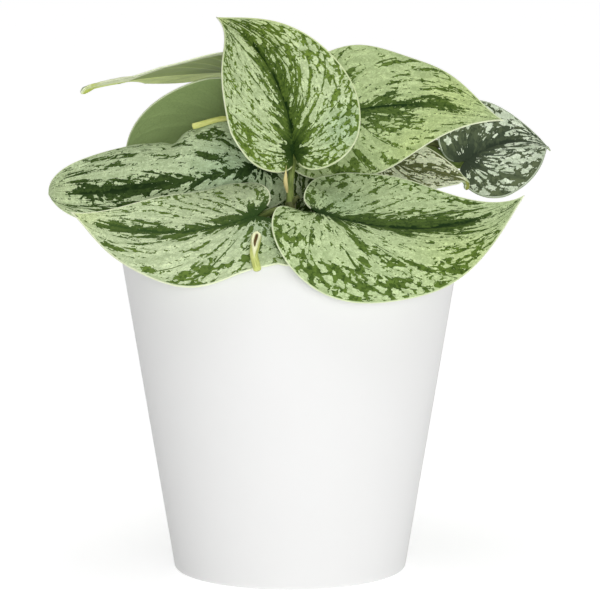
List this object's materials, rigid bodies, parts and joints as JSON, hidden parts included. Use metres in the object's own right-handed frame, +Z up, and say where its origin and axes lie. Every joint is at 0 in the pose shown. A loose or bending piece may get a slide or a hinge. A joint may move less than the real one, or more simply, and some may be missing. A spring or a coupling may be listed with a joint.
{
  "type": "potted satin pothos",
  "caption": "Heart-leaved satin pothos with silvery patterned blades on arching stalks, growing from soil in a plain white tapered pot.",
  "frame": {"origin": "centre of the pot's flat foot, on the surface that it stands on", "axes": "+Z up along the pot's axis, -Y towards the side that the two large front leaves hang over, +X to the right seen from there"},
  "size_m": [0.2057, 0.204, 0.2182],
  "materials": {
    "pot": "smooth matte white",
    "soil": "coarse, damp and granular",
    "vine": "satin olive green",
    "leaf": "satin silver sage with green veins",
    "dark_leaf": "satin dark green with silver patches",
    "young_leaf": "smooth yellow green"
  },
  "bodies": {
    "root": {"pot": "pot", "potting_soil": "soil", "vine_front": "vine", "vine_right": "vine", "vine_left": "vine", "vine_rear": "vine", "leaf_centre": "leaf", "leaf_front_right": "leaf", "leaf_front_left": "leaf", "leaf_back_right": "leaf", "leaf_upper_left": "leaf", "leaf_far_right": "dark_leaf", "leaf_hooked": "leaf", "leaf_top_left": "leaf", "leaf_back_left": "leaf", "leaf_rear": "leaf", "leaf_rear_right": "leaf", "leaf_rear_left": "leaf", "leaf_rear_low": "leaf", "leaf_inner": "leaf", "leaf_low_right": "leaf", "leaf_low_left": "leaf", "rolled_spear": "young_leaf", "rolled_leaf": "young_leaf"}
  },
  "joints": []
}
